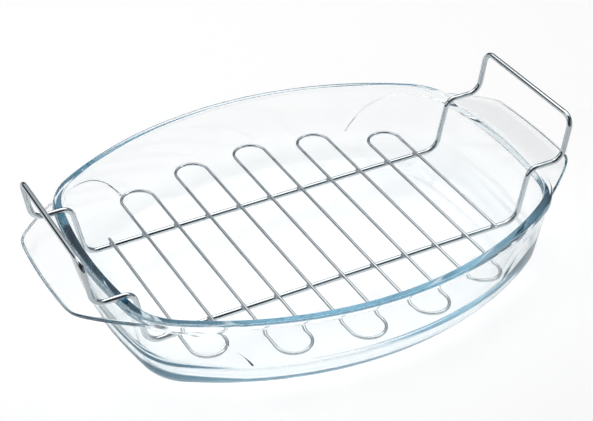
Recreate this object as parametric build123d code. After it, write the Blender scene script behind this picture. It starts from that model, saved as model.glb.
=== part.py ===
from build123d import *
import math
import os

# Oval roasting pan of pressed glass with a wire rack that stands on its rim.
# Millimetres. X runs along the length, Z up, origin under the middle of the base.

# Glass dish: sizes over all
dish_length = 390.0
dish_width = 270.0
dish_height = 64.0

# Glass dish: plan of the rim, four arcs joined by four corner arcs
bowl_length = 332.0
side_arc_radius = 254.0
end_arc_radius = 346.0
corner_arc_radius = 48.0

# Glass dish: section of the wall
rim_width = 6.0
rim_height = 4.0
rim_overhang = 1.2
rim_edge_radius = 1.8
wall_draft_angle = 9.5
base_thickness = 5.5
heel_radius = 20.0
inner_heel_radius = 22.0

# Flange handles: pressed wings at both ends, whose undersides run down the side walls
flange_thickness = 4.2
flange_top_edge_radius = 1.0
flange_under_edge_radius = 3.0
flange_corner_radius = 18.0
flange_root_radius = 6.0
flange_end_radius = 450.0
flange_side_recess = 5.5
wing_side_radius = 265.0
wing_side_recess = 1.0
wing_arch_radius = 50.0
wing_arch_setback = 24.0
wing_tip_height = 26.0
wing_root_length = 80.0

# Rack frame: one loop of thick wire with a handle at each end
frame_wire_diameter = 4.0
rail_spacing = 107.0
rail_end_gap = 4.2
rail_corner_radius = 11.0
leg_gap = 2.3
arm_rise = 41.0
arm_bend_radius = 8.0
arm_overhang = 16.7
handle_lean = 5.5
handle_rise = 33.0
handle_foot_radius = 10.0
handle_corner_radius = 8.0
rim_clearance = 0.3

# Rack grid: one serpentine of thin wire across the two rails
grid_wire_diameter = 2.4
strand_count = 11
strand_end_gap = 19.0
tip_overrun = 4.0
bend_clearance = 0.6

# How far the bends stop short of the wall, from the middle of the dish towards its ends
bend_shortfalls = (0.0, 0.0, 0.7, 0.0, 2.6)

# Spot welds between the strands and the rails
weld_diameter = 3.2
weld_gap = 0.15

# A cut runs this far past the faces that it opens
overrun = 5.0

# Two places count as the same within this distance
tolerance = 0.01

frame_wire_radius = frame_wire_diameter / 2
grid_wire_radius = grid_wire_diameter / 2
draft_slope = math.tan(math.radians(wall_draft_angle))
rim_underside = dish_height - rim_height

# The arms rest on the rim, so the rails hang from there, and the strands lie on the rails
rail_height = dish_height + rim_clearance + frame_wire_radius - arm_rise
grid_height = rail_height + frame_wire_radius + weld_gap + grid_wire_radius


def along(start, towards, distance):
    """Point at a distance from start, on the line towards another point."""
    length = math.dist(start, towards)
    share = distance / length
    return (start[0] + (towards[0] - start[0]) * share, start[1] + (towards[1] - start[1]) * share)


def corner_centre():
    """Centre of the corner arc that is tangent to a side arc and to an end arc."""
    side_centre_y = dish_width / 2 - side_arc_radius
    end_centre_x = bowl_length / 2 - end_arc_radius
    from_side = side_arc_radius - corner_arc_radius
    from_end = end_arc_radius - corner_arc_radius
    span = math.hypot(end_centre_x, side_centre_y)
    reach = (from_side**2 - from_end**2 + span**2) / (2 * span)
    rise = math.sqrt(from_side**2 - reach**2)
    unit_x = end_centre_x / span
    unit_y = -side_centre_y / span
    x = unit_x * reach + unit_y * rise
    y = side_centre_y + unit_y * reach - unit_x * rise
    return (x, y)


def meeting_points(offset):
    """Where the corner arc meets the side arc and the end arc, set in by the offset."""
    side_centre = (0, dish_width / 2 - side_arc_radius)
    end_centre = (bowl_length / 2 - end_arc_radius, 0)
    side_point = along(side_centre, corner_centre(), side_arc_radius - offset)
    end_point = along(end_centre, corner_centre(), end_arc_radius - offset)
    return side_point, end_point


def end_wall_at(offset, across):
    """Where the rim's plan, set in by the offset, lies along the length, at a distance across."""
    side_point, end_point = meeting_points(offset)
    if across < end_point[1]:
        radius = end_arc_radius - offset
        return bowl_length / 2 - end_arc_radius + math.sqrt(radius**2 - across**2)
    x, y = corner_centre()
    return x + math.sqrt((corner_arc_radius - offset)**2 - (across - y)**2)


def side_wall_at(offset, place):
    """Where the rim's plan, set in by the offset, lies across the width, at a place along the length."""
    side_point, end_point = meeting_points(offset)
    if place < side_point[0]:
        radius = side_arc_radius - offset
        return dish_width / 2 - side_arc_radius + math.sqrt(radius**2 - place**2)
    x, y = corner_centre()
    return y + math.sqrt((corner_arc_radius - offset)**2 - (place - x)**2)


def inset_at(height):
    """How far the inner wall lies inside the rim's outer edge at a height."""
    return rim_width + (dish_height - height) * draft_slope


def oval(offset, height):
    """Face inside the rim's plan, set in by the offset, at a height."""
    centre = corner_centre()
    side_point, end_point = meeting_points(offset)
    middle = ((side_point[0] + end_point[0]) / 2, (side_point[1] + end_point[1]) / 2)
    corner_point = along(centre, middle, corner_arc_radius - offset)
    half_width = dish_width / 2 - offset
    half_length = bowl_length / 2 - offset
    edges = []
    for sign in (1, -1):
        edges.append(ThreePointArc(
            (-side_point[0], sign * side_point[1]),
            (0, sign * half_width),
            (side_point[0], sign * side_point[1])))
        edges.append(ThreePointArc(
            (sign * end_point[0], end_point[1]),
            (sign * half_length, 0),
            (sign * end_point[0], -end_point[1])))
        for side in (1, -1):
            edges.append(ThreePointArc(
                (sign * side_point[0], side * side_point[1]),
                (sign * corner_point[0], side * corner_point[1]),
                (sign * end_point[0], side * end_point[1])))
    return Pos(0, 0, height) * make_face(edges)


def level_edges(solid, height):
    """Edges of a solid that lie in the level plane at a height."""
    return [edge for edge in solid.edges()
            if abs(edge.bounding_box().min.Z - height) < tolerance
            and abs(edge.bounding_box().max.Z - height) < tolerance]


def between_arcs(radius, half_span, turn):
    """Face between two equal arcs that bulge outward, one on either side at half_span, turned about Z."""
    shift = half_span - radius
    circle = Circle(radius)
    return Rot(0, 0, turn) * (Pos(shift, 0) * circle & Pos(-shift, 0) * circle)


def outermost_first(plan):
    """Corners of a plan, those farthest along the length first."""
    return sorted(plan.vertices(), key=lambda vertex: -abs(vertex.X))


def wing_plan(height):
    """Plan of both handles: it hugs the rim's side arcs, then steps in to the narrower flanges."""
    wall_half_width = dish_width / 2 - rim_overhang
    wide = between_arcs(wing_side_radius, wall_half_width - wing_side_recess, 90)
    narrow = between_arcs(wing_side_radius, wall_half_width - flange_side_recess, 90)
    ends = between_arcs(flange_end_radius, dish_length / 2, 0)
    plan = wide & (narrow + oval(0, 0)) & ends
    # The four outermost corners are the handles' own, and the next four are where they meet the rim
    corners = 4
    plan = fillet(outermost_first(plan)[corners:2 * corners], flange_root_radius)
    return Pos(0, 0, height) * fillet(outermost_first(plan)[:corners], flange_corner_radius)


def wing_profile():
    """Side view of one wing: level under the handle, then an arch down towards the tip."""
    top = rim_underside + overrun
    underside = rim_underside - flange_thickness
    outside = dish_length / 2 + overrun
    arch_start = bowl_length / 2 - wing_arch_setback
    arch_drop = underside - wing_tip_height
    arch_run = math.sqrt(wing_arch_radius**2 - (wing_arch_radius - arch_drop)**2)
    tip = (arch_start - arch_run, wing_tip_height)
    half_turn = math.acos((wing_arch_radius - arch_drop) / wing_arch_radius) / 2
    crown = (arch_start - wing_arch_radius * math.sin(half_turn),
             underside - wing_arch_radius * (1 - math.cos(half_turn)))
    edges = [
        Line((wing_root_length, top), (outside, top)),
        Line((outside, top), (outside, underside)),
        Line((outside, underside), (arch_start, underside)),
        ThreePointArc((arch_start, underside), crown, tip),
        Line(tip, (wing_root_length, wing_tip_height)),
        Line((wing_root_length, wing_tip_height), (wing_root_length, top)),
    ]
    return make_face(edges)


def crosswise(edge):
    """True for an edge that runs straight across the dish, as the hidden ones inside the bowl do."""
    return edge.bounding_box().size.X < tolerance


def make_wings():
    """Both handle wings, still running through the inside of the bowl."""
    plan = wing_plan(rim_underside)
    body = extrude(plan, amount=rim_underside, dir=(0, 0, -1), taper=wall_draft_angle)
    one_side = extrude(Plane.XZ * wing_profile(), amount=dish_width / 2, both=True)
    wings = body & (one_side + mirror(one_side, about=Plane.YZ))
    top_edges = [edge for edge in level_edges(wings, rim_underside) if not crosswise(edge)]
    wings = fillet(top_edges, flange_top_edge_radius)
    underside = rim_underside - flange_thickness
    lower_edges = [edge for edge in wings.edges()
                   if wing_tip_height + tolerance < edge.center().Z < underside + tolerance
                   and not crosswise(edge)]
    return fillet(lower_edges, flange_under_edge_radius)


def make_dish():
    """Pressed glass dish: bowl, rim bead and the two flange handles in one piece."""
    outline = oval(rim_overhang, rim_underside)
    bowl = extrude(outline, amount=rim_underside, dir=(0, 0, -1), taper=wall_draft_angle)
    bowl = fillet(level_edges(bowl, 0), heel_radius)
    bead = extrude(oval(0, rim_underside), amount=rim_height)
    mouth = oval(rim_width, dish_height)
    cavity_depth = dish_height - base_thickness
    cavity = extrude(mouth, amount=cavity_depth, dir=(0, 0, -1), taper=wall_draft_angle)
    cavity = fillet(level_edges(cavity, base_thickness), inner_heel_radius)
    dish = bowl + bead + make_wings() - cavity
    return fillet(level_edges(dish, dish_height), rim_edge_radius)


def rail_corner():
    """Half length of a rail, up to the corner where it turns up beside the wall."""
    wall = end_wall_at(inset_at(rail_height), rail_spacing / 2)
    return wall - rail_end_gap - frame_wire_radius


def make_frame():
    """Closed loop of thick wire: two rails, four legs, four arms over the rim and two handles."""
    rail_across = rail_spacing / 2
    leg_top = end_wall_at(rim_width, rail_across) - leg_gap - frame_wire_radius
    arm_end = end_wall_at(0, rail_across) + arm_overhang
    arm_height = rail_height + arm_rise
    side = [
        (rail_corner(), rail_height, rail_corner_radius),
        (leg_top, arm_height, arm_bend_radius),
        (arm_end, arm_height, handle_foot_radius),
        (arm_end + handle_lean, arm_height + handle_rise, handle_corner_radius),
    ]
    points = []
    radii = []
    for end, across, corners in ((1, -1, side), (1, 1, side[::-1]), (-1, 1, side), (-1, -1, side[::-1])):
        for x, z, radius in corners:
            points.append((end * x, across * rail_across, z))
            radii.append(radius)
    path = FilletPolyline(points, radius=radii, close=True)
    wire = Wire(path.edges())
    section = Plane(origin=wire @ 0, z_dir=wire % 0) * Circle(frame_wire_radius)
    return sweep(section, path=wire)


def bend_reach(place, shortfall):
    """How far across the dish a bend of the serpentine reaches, stopping short of the wall."""
    half_pitch = strand_pitch / 2
    outside = half_pitch + grid_wire_radius + bend_clearance
    return side_wall_at(inset_at(grid_height) + outside, abs(place)) + half_pitch - shortfall


def make_grid():
    """Serpentine of thin wire: strands joined by half-turn bends, its two ends just past the rails."""
    half_pitch = strand_pitch / 2
    first = -(strand_count - 1) / 2 * strand_pitch
    tip = rail_spacing / 2 + tip_overrun
    edges = []
    start = (first, tip)
    for strand in range(strand_count - 1):
        across = -1 if strand % 2 == 0 else 1
        x = first + strand * strand_pitch
        middle = x + half_pitch
        bend = min(int(abs(middle) / strand_pitch), len(bend_shortfalls) - 1)
        reach = bend_reach(middle, bend_shortfalls[bend])
        foot = across * (reach - half_pitch)
        edges.append(Line(start, (x, foot)))
        edges.append(ThreePointArc((x, foot), (middle, across * reach), (x + strand_pitch, foot)))
        start = (x + strand_pitch, foot)
    edges.append(Line(start, (start[0], -tip)))
    wire = Pos(0, 0, grid_height) * Wire(edges)
    section = Plane(origin=wire @ 0, z_dir=wire % 0) * Circle(grid_wire_radius)
    return sweep(section, path=wire)


def make_welds(frame, grid):
    """Spot welds, one between every strand and each rail that it crosses."""
    height = grid_height - rail_height
    peg = extrude(Pos(0, 0, rail_height) * Circle(weld_diameter / 2), amount=height)
    welds = []
    for strand in range(strand_count):
        x = (strand - (strand_count - 1) / 2) * strand_pitch
        for across in (1, -1):
            weld = Pos(x, across * rail_spacing / 2, 0) * peg
            welds.append(weld - frame - grid)
    return Compound(children=[weld.solid() for weld in welds])


strand_pitch = (rail_corner() - strand_end_gap) * 2 / (strand_count - 1)

frame = make_frame()
grid = make_grid()
nodes = {
    "glass_dish": make_dish(),
    "rack_frame": frame,
    "rack_grid": grid,
    "spot_welds": make_welds(frame, grid),
}

os.makedirs("parts", exist_ok=True)
for name, solid in nodes.items():
    export_step(solid, f"parts/{name}.step")
    print(name, len(solid.solids()), "solids", round(solid.volume), "mm3")
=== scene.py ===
# %% [markdown]
# # A glass roasting pan with a wire rack
#
# The pan and its rack were drawn first as exact solids. This lesson loads them, gives each
# piece a finish that reads as real glass or steel, and lights the pan the way that a
# photographer lights glassware. The first cell loads the solids, which already stand where
# they belong, and measures the box that they fill.

# %% Load the solids
import math
import bpy
import numpy as np
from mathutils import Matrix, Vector


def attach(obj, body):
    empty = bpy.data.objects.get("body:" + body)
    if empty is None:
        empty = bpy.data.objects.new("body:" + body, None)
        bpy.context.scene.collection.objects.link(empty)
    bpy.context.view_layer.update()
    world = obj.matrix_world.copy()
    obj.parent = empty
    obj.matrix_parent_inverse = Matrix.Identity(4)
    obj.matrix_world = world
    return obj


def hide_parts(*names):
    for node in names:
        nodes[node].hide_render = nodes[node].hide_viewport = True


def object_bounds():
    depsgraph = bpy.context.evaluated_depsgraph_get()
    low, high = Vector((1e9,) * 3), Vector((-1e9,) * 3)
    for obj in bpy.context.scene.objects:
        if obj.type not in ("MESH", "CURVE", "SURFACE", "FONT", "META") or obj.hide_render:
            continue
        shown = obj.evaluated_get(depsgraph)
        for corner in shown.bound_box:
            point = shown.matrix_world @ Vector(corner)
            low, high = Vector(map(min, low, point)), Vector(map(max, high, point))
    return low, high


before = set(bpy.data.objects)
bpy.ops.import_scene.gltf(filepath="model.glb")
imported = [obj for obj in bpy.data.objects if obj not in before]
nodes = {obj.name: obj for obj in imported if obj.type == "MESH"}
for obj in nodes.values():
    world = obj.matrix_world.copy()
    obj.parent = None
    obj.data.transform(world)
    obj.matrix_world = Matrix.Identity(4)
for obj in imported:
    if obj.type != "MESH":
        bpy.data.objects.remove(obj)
cad_low, cad_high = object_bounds()
length, width, height = cad_high - cad_low
MM = 0.001
print("pan", [round(size / MM) for size in (length, width, height)], "mm")

# %% [markdown]
# ## Shader maths as plain Python
#
# A finish is a small network of nodes. Writing each link by hand hides the idea, so one
# class wraps a socket: `mask * 0.3 + 0.2` adds the Math nodes for that sum. `Finish` adds
# every other kind of node through one method, settings first and sockets after.

# %% A socket that does arithmetic
class Value:
    """An output socket. Arithmetic on it adds Math nodes to the same node tree."""

    def __init__(self, socket):
        self.socket = socket

    def math(self, operation, first, second):
        """A Math node on this socket and on another socket or a number."""
        tree = self.socket.id_data
        node = tree.nodes.new("ShaderNodeMath")
        node.operation = operation
        tree.links.new(first.socket, node.inputs[0])
        if isinstance(second, Value):
            tree.links.new(second.socket, node.inputs[1])
        else:
            node.inputs[1].default_value = second
        return Value(node.outputs[0])

    def __add__(self, other):
        return self.math("ADD", self, other)

    def __mul__(self, other):
        return self.math("MULTIPLY", self, other)


class Finish:
    """The node tree of one material or of the world."""

    def __init__(self, owner):
        owner.use_nodes = True
        self.owner = owner
        self.tree = owner.node_tree
        self.tree.nodes.clear()

    def add(self, kind, settings=None, sockets=None, output=0):
        """A node of this kind, returned as the Value of the chosen output."""
        node = self.tree.nodes.new("ShaderNode" + kind)
        for name, setting in (settings or {}).items():
            setattr(node, name, setting)
        for name, term in (sockets or {}).items():
            if isinstance(term, Value):
                self.tree.links.new(term.socket, node.inputs[name])
            else:
                node.inputs[name].default_value = term
        return Value(node.outputs[output]) if node.outputs else node


def material(name):
    """A new, empty material."""
    return Finish(bpy.data.materials.new(name))


print("arithmetic on sockets is ready")

# %% [markdown]
# ## The table and the room
#
# The pan stands on a pale, seamless surface that runs out to white. Glass has no colour of
# its own to show: it is drawn by what it bends into view. Against plain white it would all
# but vanish, so the room has a dark band round it, out of the camera's sight. Rays that the
# thick rim and the heel of the wall turn sideways end in that band, which draws the dark
# lines that make glass look like glass. Photographers call this bright-field lighting.

# %% Seamless pale floor
WHITE = (1, 1, 1, 1)
floor_reach = 12 * length
air_film = 0.2 * MM
corners = [(-1, -1), (1, -1), (1, 1), (-1, 1)]


def placed(name, data):
    """A new object in the scene that shows a mesh, a lamp or a camera."""
    thing = bpy.data.objects.new(name, data)
    bpy.context.scene.collection.objects.link(thing)
    return thing


def flat_mesh(name, half_length, half_depth, level):
    """One rectangle at this height."""
    mesh = bpy.data.meshes.new(name)
    points = [(x * half_length, y * half_depth, level) for x, y in corners]
    mesh.from_pydata(points, [], [(0, 1, 2, 3)])
    return mesh


floor_mesh = flat_mesh("floor", floor_reach, floor_reach, -air_film)
floor = placed("floor", floor_mesh)
print("floor reaches", round(floor_reach, 1), "m each way")

# %% [markdown]
# The floor's finish glows a little for the rays that the camera follows, straight or through
# glass, so that the floor runs out to white and still keeps the wires' soft shadow. The steel
# sees a dimmer floor, which leaves the wires some dark to stand out with.

# %% Finish of the floor
floor_glow = 0.31
mirrored_share = 0.24
floor_grey = (0.92, 0.92, 0.92, 1)


def greater(first, second):
    """The larger of two sockets."""
    return first.math("MAXIMUM", first, second)


def ray(finish, kind):
    """1 for rays of this kind, else 0."""
    return finish.add("LightPath", output="Is " + kind + " Ray")


def looked_at(finish):
    """1 for what the camera sees, straight or through glass, else 0."""
    return greater(ray(finish, "Camera"), ray(finish, "Transmission"))


floor_finish = material("pale_floor")
glow = greater(looked_at(floor_finish), ray(floor_finish, "Glossy") * mirrored_share)
floor_shader = floor_finish.add("BsdfPrincipled", sockets={
    "Base Color": floor_grey,
    "Roughness": 0.9,
    "Specular IOR Level": 0.0,
    "Emission Color": WHITE,
    "Emission Strength": glow * floor_glow,
})
floor_finish.add("OutputMaterial", sockets={"Surface": floor_shader})
floor_mesh.materials.append(floor_finish.owner)
print("floor glow", floor_glow)

# %% [markdown]
# The world is plain white where it is looked at. Rays that leave a mirror, as on the steel,
# meet a darker room that brightens towards the far side, so each wire gets a dark side and a
# light side.

# %% White world
world = Finish(bpy.data.worlds.new("white_room"))
bpy.context.scene.world = world.owner
fill_level = 0.4
darkest, brightest = 0.04, 0.62
near_turn, far_turn = -0.3, 0.75

direction = world.add("TexCoord", output="Generated")
backwards = world.add("SeparateXYZ", sockets={"Vector": direction}, output="Y")
mirrored_level = world.add("MapRange", sockets={
    "Value": backwards,
    "From Min": near_turn, "From Max": far_turn,
    "To Min": darkest, "To Max": brightest})
reflected = ray(world, "Glossy") * mirrored_level
fill = ray(world, "Diffuse") * fill_level
world_shader = world.add("Background", sockets={
    "Color": WHITE,
    "Strength": greater(looked_at(world), greater(reflected, fill)),
})
world.add("OutputWorld", sockets={"Surface": world_shader})
print("fill light", fill_level)

# %% [markdown]
# The dark band is a ring round the pan that glows with its own dark colour, standing in for black
# cloth. Only rays inside the glass or off the steel can see it.

# %% Dark band round the room
band_radius = 4 * length
band_low = 0.05 * length
band_high = 2.6 * length
band_sides = 48

band_mesh = bpy.data.meshes.new("dark_band")
band_points = []
for level in (band_low, band_high):
    for side in range(band_sides):
        angle = math.tau * side / band_sides
        band_points.append((band_radius * math.cos(angle), band_radius * math.sin(angle), level))
band_faces = []
for side in range(band_sides):
    following = (side + 1) % band_sides
    band_faces.append((side, following, band_sides + following, band_sides + side))
band_mesh.from_pydata(band_points, [], band_faces)
band = placed("dark_band", band_mesh)
band.visible_camera = False
band.visible_diffuse = False
band.visible_shadow = False
print("dark band", round(band_low, 2), "to", round(band_high, 2), "m high")

# %% [markdown]
# The band glows with its own colour and is not lit. It is dark, with soft, lighter streaks of painted
# light where folds of cloth would catch the light. They run up and down, and keep the lines in the
# glass from being one flat colour.

# %% Glow of the band, with painted light on its folds
fold_stretch = (1.6, 1.6, 0.25)
fold_scale = 1.3
fold_from, fold_to = 0.50, 0.74
dark_cloth = (0.02, 0.032, 0.045, 1)
painted_fold_light = (0.62, 0.70, 0.76, 1)

band_finish = material("dark_cloth")
spot = band_finish.add("TexCoord", output="Object")
upright = band_finish.add("Mapping", sockets={"Vector": spot, "Scale": fold_stretch})
folds = band_finish.add("TexNoise", sockets={
    "Vector": upright, "Scale": fold_scale, "Detail": 1.0}, output="Fac")
folded = band_finish.add("MapRange", {"interpolation_type": "SMOOTHSTEP"}, {
    "Value": folds, "From Min": fold_from, "From Max": fold_to})
# The band glows with this colour: dark, and lighter along the folds as painted fold light.
cloth = band_finish.add("Mix", {"data_type": "RGBA"}, {
    0: folded, 6: dark_cloth, 7: painted_fold_light}, output=2)
band_shader = band_finish.add("Emission", sockets={"Color": cloth, "Strength": 1.0})
band_finish.add("OutputMaterial", sockets={"Surface": band_shader})
band_mesh.materials.append(band_finish.owner)
print("folds of the cloth at scale", fold_scale)

# %% [markdown]
# ## Soft studio light
#
# Two large soft boxes: a big one overhead, slightly behind the pan, which lays the long
# highlights on the wires, and a smaller one at the left, which brightens the rim there.
# Their light is kept plain, so that a colour renders about as it is written.

# %% Soft boxes
def turn(thing, direction, front):
    """Turn an object so that its front, such as -Z, looks along a direction."""
    thing.rotation_mode = "QUATERNION"
    thing.rotation_quaternion = direction.to_track_quat(front, "Y")


def soft_box(name, place, aim, size, power):
    """A rectangular lamp at a place, turned towards what it lights."""
    lamp = bpy.data.lights.new(name, "AREA")
    lamp.shape = "RECTANGLE"
    lamp.size, lamp.size_y = size
    lamp.energy = power
    holder = placed(name, lamp)
    holder.location = place
    turn(holder, Vector(aim) - Vector(place), "-Z")
    print(name, "at", place)


middle = (0, 0, height / 3)
soft_box("overhead_light", (0.1, 0.35, 1.3), middle, (1.6, 1.2), 7)
soft_box("left_light", (-1.1, 0.2, 0.8), middle, (0.9, 0.8), 2)

# %% [markdown]
# A long, narrow white card above the pan is seen only by mirrors. It lays a crisp bright line on
# the wires without adding any light to the table.

# %% Bright card for the highlights
card_half_length = 1.1
card_half_depth = 0.17
card_place = Vector((0.55, 0.4, 1.25))
card_strength = 2.6

card_mesh = flat_mesh("bright_card", card_half_length, card_half_depth, 0)
card = placed("bright_card", card_mesh)
card.location = card_place
turn(card, card_place, "Z")
for kind in ("camera", "diffuse", "transmission", "shadow"):
    setattr(card, "visible_" + kind, False)

card_finish = material("bright_card")
card_shader = card_finish.add("Emission", sockets={"Color": WHITE, "Strength": card_strength})
card_finish.add("OutputMaterial", sockets={"Surface": card_shader})
card_mesh.materials.append(card_finish.owner)
print("card", [round(part, 2) for part in card_place])

# %% [markdown]
# ## The camera
#
# The photograph looks along the pan from its near left, about 35 degrees above the table.
# A long lens keeps the two ends nearly the same size, as on the photograph. Light crosses
# many surfaces of glass before it gets out, so the rays may bounce many times.

# %% Camera
camera_azimuth = math.radians(28.04)
camera_elevation = math.radians(34.84)
camera_distance = 1.186
camera_target = Vector((0.0074, 0.0248, 0.030))
ray_bounces = 60

camera = bpy.data.cameras.new("camera")
camera.sensor_fit = "HORIZONTAL"
camera.sensor_width = 36
camera.lens = 100.35
camera_holder = placed("camera", camera)
across = math.cos(camera_elevation)
towards = Vector((
    across * math.sin(camera_azimuth), across * math.cos(camera_azimuth), -math.sin(camera_elevation)))
camera_holder.location = camera_target - towards * camera_distance
turn(camera_holder, towards, "-Z")
bpy.context.scene.camera = camera_holder
bpy.context.scene.view_settings.view_transform = "Standard"
paths = bpy.context.scene.cycles
paths.max_bounces = ray_bounces
paths.glossy_bounces = ray_bounces
paths.transmission_bounces = ray_bounces
print("camera at", [round(part, 3) for part in camera_holder.location])

# %% [markdown]
# ## The outline of the dish
#
# Clear glass shows every facet, so the dish is rebuilt as a fine mesh with rounded corners,
# on the same sizes as the solid. Its plan is an oval of arcs that meet without a kink: long
# side arcs, end arcs, and a tight arc at each corner. Where arcs meet smoothly, the
# direction that the wall faces turns steadily, so that direction is used as the parameter,
# and an inset only shortens each arc's radius.

# %% Arcs of the oval
bowl_length = 332
dish_width = width / MM
side_radius = 254
end_radius = 346
corner_radius = 48

side_centre = np.array([0, dish_width / 2 - side_radius])
end_centre = np.array([bowl_length / 2 - end_radius, 0])


def tangent_centre(first, first_radius, second, second_radius):
    """Centre of a circle that touches the inside of two others, at these distances from them."""
    span = np.linalg.norm(second - first)
    along = (first_radius**2 - second_radius**2 + span**2) / (2 * span)
    rise = math.sqrt(first_radius**2 - along**2)
    unit = (second - first) / span
    return first + unit * along + np.array([unit[1], -unit[0]]) * rise


corner_centre = tangent_centre(
    side_centre, side_radius - corner_radius, end_centre, end_radius - corner_radius)


def facing(start, end):
    """Direction from one point to another, as an angle from the X axis."""
    return math.atan2(end[1] - start[1], end[0] - start[0])


end_turn = facing(end_centre, corner_centre)
side_turn = facing(side_centre, corner_centre)
print("corner arc from", round(math.degrees(end_turn)), "to", round(math.degrees(side_turn)), "degrees")

# %% [markdown]
# One quarter of the oval is walked arc by arc and then mirrored three times. Each step keeps
# its place and the direction that the wall faces there.

# %% Walk once round the oval
spacing = 1.8
fan = 30


def arc_turns(start, end, radius):
    """Directions along one arc, spaced for a line that runs some way outside it."""
    count = math.ceil((end - start) * (radius + fan) / spacing)
    return list(np.linspace(start, end, count, endpoint=False))


quarter = []
for start, end, centre, radius in (
    (0, end_turn, end_centre, end_radius),
    (end_turn, side_turn, corner_centre, corner_radius),
    (side_turn, math.pi / 2, side_centre, side_radius),
):
    for turn in arc_turns(start, end, radius):
        normal = np.array([math.cos(turn), math.sin(turn)])
        quarter.append((centre + radius * normal, normal))
top_normal = np.array([0, 1])
quarter.append((side_centre + side_radius * top_normal, top_normal))


def mirrored(points, x_sign, y_sign):
    """The same walk in another quarter of the oval."""
    flip = np.array([x_sign, y_sign])
    return [(place * flip, normal * flip) for place, normal in points]


out_walk, back_walk = quarter[:-1], quarter[:0:-1]
walk = out_walk + mirrored(back_walk, -1, 1)
walk += mirrored(out_walk, -1, -1) + mirrored(back_walk, 1, -1)
rim_line = np.array([place for place, normal in walk])
outward = np.array([normal for place, normal in walk])
print(len(walk), "steps round the oval")

# %% [markdown]
# ## The handle wings
#
# At each end a flat wing reaches past the oval and makes the handle. Seen from above, a wing
# ends in a slightly curved edge with rounded corners. Its sides meet the rim at an angle, and
# from there the wing hugs the rim as a low step. Seen from the side, its underside is level
# under the handle and then arches down the wall, where it shows as a thin crescent.

# %% How far the wings reach beyond the oval
dish_height = 64
rim_underside = 60
draft_angle = 9.5
draft = math.tan(math.radians(draft_angle))
rim_overhang = 1.2
wall_half_width = dish_width / 2 - rim_overhang
wing_recess = 0.3
flange_recess = 5.5
wing_side_radius = 265
wing_end_radius = 450
wing_half_length = length / MM / 2
corner_softness = 2.2
root_softness = 0.5


def reach_to_circle(centre, radius):
    """How far each outward ray of the oval runs before it meets a circle."""
    gap = np.abs(rim_line) - centre
    ahead = (gap * np.abs(outward)).sum(axis=1)
    return -ahead + np.sqrt(ahead**2 - (gap**2).sum(axis=1) + radius**2)


def reach_to_side(recess):
    """How far the outward rays run before they meet a wing's side, set back by the recess."""
    centre = np.array([0, wall_half_width - recess - wing_side_radius])
    return reach_to_circle(centre, wing_side_radius)


def lesser(first, second, softness):
    """The smaller of two lengths, rounded over where they cross."""
    return -softness * np.log(np.exp(-first / softness) + np.exp(-second / softness))


flange_side = -lesser(-reach_to_side(flange_recess), 0, root_softness)
side_reach = np.minimum(reach_to_side(wing_recess), flange_side)
end_reach = reach_to_circle(np.array([wing_half_length - wing_end_radius, 0]), wing_end_radius)
wing_reach = lesser(side_reach, end_reach, corner_softness)
ledge = np.maximum(wing_reach + rim_overhang, 0)
print("wings reach", round(wing_reach.max(), 1), "mm beyond the oval")

# %% [markdown]
# The underside's height depends only on the place along the pan: level at the handle, then
# down a quarter circle, and never below the tip of the wing.

# %% Height of the wings' underside
flange_thickness = 4.2
arch_radius = 50
arch_inset = 24
arch_start = bowl_length / 2 - arch_inset
steepest = 0.999
wing_tip_height = 26


def underside(inset):
    """Height of the wings' underside on the line at this inset from the oval."""
    place = np.abs(rim_line[:, 0] - inset * outward[:, 0])
    run = np.clip(arch_start - place, 0, arch_radius * steepest)
    level = rim_underside - flange_thickness - arch_radius + np.sqrt(arch_radius**2 - run**2)
    return np.maximum(level, wing_tip_height)


print("underside from", wing_tip_height, "to", round(underside(0).max(), 1), "mm")

# %% [markdown]
# ## From sections to a mesh
#
# The dish is lofted: at every step round the oval the same number of points follows the
# section of the glass, from the middle of the base, round the heel, up the wall, out and
# back over the wing, over the rim, and down the inside. A point is an inset from the oval
# and a height. A bend that turns out and up again, as under a wing, is two quarter ellipses
# with a straight run between them. Where there is no wing it closes up by itself. The glass
# is thicker in the heel at the two ends, so the inner heel's radius grows towards them.

# %% Sizes of the section
rim_width = 6
rim_outer_radius = 1.6
rim_inner_radius = 1.2
base_thickness = 5.5
heel_radius = 20
heel_side_radius = 22.5
heel_growth = 10
growth_start, growth_run = 100, 60
towards_end = np.clip((np.abs(rim_line[:, 0]) - growth_start) / growth_run, 0, 1)
inner_heel_radius = heel_side_radius + heel_growth * towards_end
lean = math.radians(90 - draft_angle)
bend_steps = 7
heel_steps = 14
rim_steps = 9
straight_shares = (0.1, 0.3, 0.5, 0.7, 0.9)
print("inner heel radius", inner_heel_radius.min(), "to", inner_heel_radius.max(), "mm")

# %% [markdown]
# A few helpers add rows of points: a single row, an arc, a step out from the wall, and a
# straight run up a face. Every row has one point for each step round the oval.

# %% Rows along the section
rows = []


def wall_inset(level):
    """Inset of the outer wall at a height."""
    return rim_overhang + (rim_underside - level) * draft


def row(inset, level):
    """One more row of points, at an inset and a height that may differ round the oval."""
    rows.append((inset + 0 * ledge, level + 0 * ledge))


def arc(inset, level, radius, start, end, steps):
    """Rows along an arc of the section. Angle 0 points down, a quarter turn points outward."""
    for angle in np.linspace(start, end, steps):
        row(inset - radius * math.sin(angle), level - radius * math.cos(angle))


def step_out(start, end, level_at, below, above, steps):
    """Rows along an S-shaped step from one inset to another, at a level that may vary."""
    run = end - start
    first = np.clip(run / 2, -below, below)
    second = np.clip(run / 2, -above, above)
    for angle in np.linspace(0, math.pi / 2, steps):
        inset = start + first * (1 - math.cos(angle))
        row(inset, level_at(inset) - below * (1 - math.sin(angle)))
    for share in straight_shares:
        inset = start + first + (run - first - second) * share
        row(inset, level_at(inset))
    for angle in np.linspace(0, math.pi / 2, steps):
        inset = end - second * (1 - math.sin(angle))
        row(inset, level_at(inset) + above * (1 - math.cos(angle)))


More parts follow.
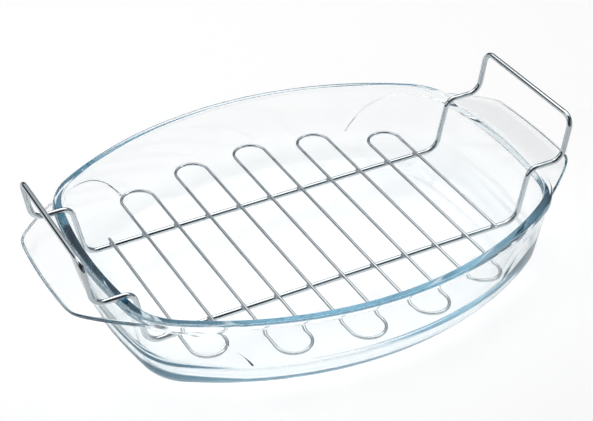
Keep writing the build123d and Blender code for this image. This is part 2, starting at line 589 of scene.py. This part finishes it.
def run_up(inset_at, start, end, steps):
    """Rows up a face between two levels, without its ends."""
    for share in np.linspace(0, 1, steps + 2)[1:-1]:
        level = start + (end - start) * share
        row(inset_at(level), level)


print("section tools are ready")

# %% [markdown]
# The rows start at the heel and climb the outer wall. Under the wing a small crease turns
# them outward, and its edge turns them up again.

# %% Outside of the dish, from the base up to the rim
heel_centre = wall_inset(0) + heel_radius * math.tan(lean / 2)
arc(heel_centre, heel_radius, heel_radius, 0, lean, heel_steps)

wall_steps = 14
crease = 0.6
edge_share = 0.5
edge_least, edge_most = 0.5, 2.4
edge = np.clip(ledge * edge_share, edge_least, edge_most)
wall_top = underside(wall_inset(rim_underside)) - crease
run_up(wall_inset, heel_radius * (1 - math.cos(lean)), wall_top, wall_steps)
step_out(wall_inset(wall_top), wall_inset(wall_top) - ledge, underside, crease, edge, bend_steps)

flange_edge = 1.0
bead_root = 1.2
face_steps = 6
face_foot = underside(rim_overhang - ledge) + edge
run_up(lambda level: wall_inset(level) - ledge, face_foot, rim_underside - flange_edge, face_steps)
step_out(
    wall_inset(rim_underside) - ledge, 0 * ledge,
    lambda inset: rim_underside, flange_edge, bead_root, bend_steps)
print(len(rows), "rows outside")

# %% [markdown]
# The rim is rounded on both edges. From there the rows run down inside, and the inner heel
# turns them level at the top of the base.

# %% Rim, inside wall and base
inner_wall_steps = 20

arc(rim_outer_radius, dish_height - rim_outer_radius, rim_outer_radius, math.pi / 2, math.pi, rim_steps)
inner_corner = rim_width - rim_inner_radius * math.tan(lean / 2)
arc(inner_corner, dish_height - rim_inner_radius, rim_inner_radius, math.pi, math.pi + lean, rim_steps)


def inner_inset(level):
    """Inset of the inner wall at a height."""
    return rim_width + (dish_height - level) * draft


inner_heel_centre = inner_inset(base_thickness) + inner_heel_radius * math.tan(lean / 2)
inner_heel_level = base_thickness + inner_heel_radius
inner_wall_foot = inner_heel_level - inner_heel_radius * math.cos(lean)
run_up(inner_inset, dish_height - rim_inner_radius, inner_wall_foot, inner_wall_steps)
arc(inner_heel_centre, inner_heel_level, inner_heel_radius, lean, 0, heel_steps)
print(len(rows), "rows in all")

# %% [markdown]
# The rows become rings of points, and neighbouring rings are joined by four-sided faces. A
# few smaller rings and one middle point close the base, both underneath and inside.

# %% Mesh of the dish
disc_shares = (0.0, 0.15, 0.35, 0.6, 0.8, 0.93)


def lofted(sections, name):
    """Closed mesh through the sections, with the first and the last closed towards the middle."""
    steps = len(rim_line)
    rings = []
    for inset, level in sections:
        ring = np.empty((steps, 3))
        ring[:, :2] = rim_line - inset[:, None] * outward
        ring[:, 2] = level
        rings.append(ring)
    flat = np.array([1, 1, 0])
    lift = np.array([0, 0, 1])
    under = [rings[0] * (flat * share + lift) for share in disc_shares[1:]]
    over = [rings[-1] * (flat * share + lift) for share in disc_shares[:0:-1]]
    rings = under + rings + over
    points = np.concatenate(rings) * MM
    faces = []
    for ring in range(len(rings) - 1):
        for step in range(steps):
            following = (step + 1) % steps
            low, high = ring * steps, (ring + 1) * steps
            faces.append((low + step, low + following, high + following, high + step))
    bottom, top = len(points), len(points) + 1
    last = (len(rings) - 1) * steps
    for step in range(steps):
        following = (step + 1) % steps
        faces.append((bottom, following, step))
        faces.append((top, last + step, last + following))
    middles = [(0, 0, rings[0][0, 2] * MM), (0, 0, rings[-1][0, 2] * MM)]
    mesh = bpy.data.meshes.new(name)
    mesh.from_pydata(points.tolist() + middles, [], faces)
    mesh.polygons.foreach_set("use_smooth", [True] * len(mesh.polygons))
    return placed(name, mesh)


dish = lofted(rows, "pressed_dish")
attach(dish, "dish")
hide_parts("glass_dish")
print("dish mesh", len(dish.data.polygons), "faces")

# %% [markdown]
# ## Glass
#
# Pressed heat-proof glass is clear through its wall and faintly blue where the light runs
# a long way inside it, as along the rim. So the surface stays white and the colour comes
# from absorption inside the volume. The press leaves the surface very slightly wavy, which
# a weak bump gives.

# %% Glass finish
wave_scale = 28.0
wave_strength = 0.35
wave_depth = 0.1 * MM
glass_ior = 1.47
deep_blue = (0.32, 0.58, 0.68, 1)
absorption = 8.0

glass = material("clear_glass")
place = glass.add("TexCoord", output="Object")
waves = glass.add("TexNoise", sockets={
    "Vector": place, "Scale": wave_scale, "Detail": 1.0, "Roughness": 0.4}, output="Fac")
bump = glass.add("Bump", sockets={"Height": waves, "Strength": wave_strength, "Distance": wave_depth})
glass_shader = glass.add("BsdfPrincipled", sockets={
    "Base Color": WHITE,
    "Roughness": 0.0,
    "IOR": glass_ior,
    "Transmission Weight": 1.0,
    "Normal": bump,
})
inside = glass.add("VolumeAbsorption", sockets={"Color": deep_blue, "Density": absorption})
glass.add("OutputMaterial", sockets={"Surface": glass_shader, "Volume": inside})
print("glass finish made")

# %% [markdown]
# ## Steel
#
# Both wires are bright drawn steel. A fine grain from the drawing roughens them slightly,
# and a slow, cloudy change of grey keeps them from looking painted. The welds are darker and
# duller.

# %% Steel finishes
grain_scale = 900.0
cloud_scale = 60.0
grain_depth = 0.03 * MM
grain_strength = 0.2
grain_roughness = 0.08
darker_tint = (0.82, 0.89, 0.93)
lighter_tint = (0.98, 1.04, 1.07)


def steel(name, grey, roughness):
    """Steel of this grey, clouded between two cool tints."""
    finish = material(name)
    spot = finish.add("TexCoord", output="Object")
    drawn, cloudy = (
        finish.add("TexNoise", sockets={"Vector": spot, "Scale": scale, "Detail": 2.0}, output="Fac")
        for scale in (grain_scale, cloud_scale))
    colour = finish.add("Mix", {"data_type": "RGBA"}, {
        0: cloudy,
        6: (*(grey * part for part in darker_tint), 1),
        7: (*(grey * part for part in lighter_tint), 1),
    }, output=2)
    relief = finish.add("Bump", sockets={
        "Height": drawn, "Strength": grain_strength, "Distance": grain_depth})
    shader = finish.add("BsdfPrincipled", sockets={
        "Base Color": colour,
        "Metallic": 1.0,
        "Roughness": drawn * grain_roughness + roughness,
        "Normal": relief,
    })
    finish.add("OutputMaterial", sockets={"Surface": shader})
    print(name, "made")
    return finish.owner


bright_steel = steel("bright_steel", 0.64, 0.05)
weld_steel = steel("weld_steel", 0.40, 0.3)

# %% [markdown]
# ## Dress the pieces
#
# Each loaded solid gets its finish. The dish casts no shadow, because a shadow test can't
# follow light through glass and would darken the table as if the dish were solid.

# %% Finishes on the pieces
def dress(node, owner):
    """Give a loaded solid one finish."""
    mesh = nodes[node].data
    mesh.materials.clear()
    mesh.materials.append(owner)


dish.data.materials.append(glass.owner)
dish.visible_shadow = False
dress("rack_frame", bright_steel)
dress("rack_grid", bright_steel)
dress("spot_welds", weld_steel)
print("dressed", len(nodes), "nodes")
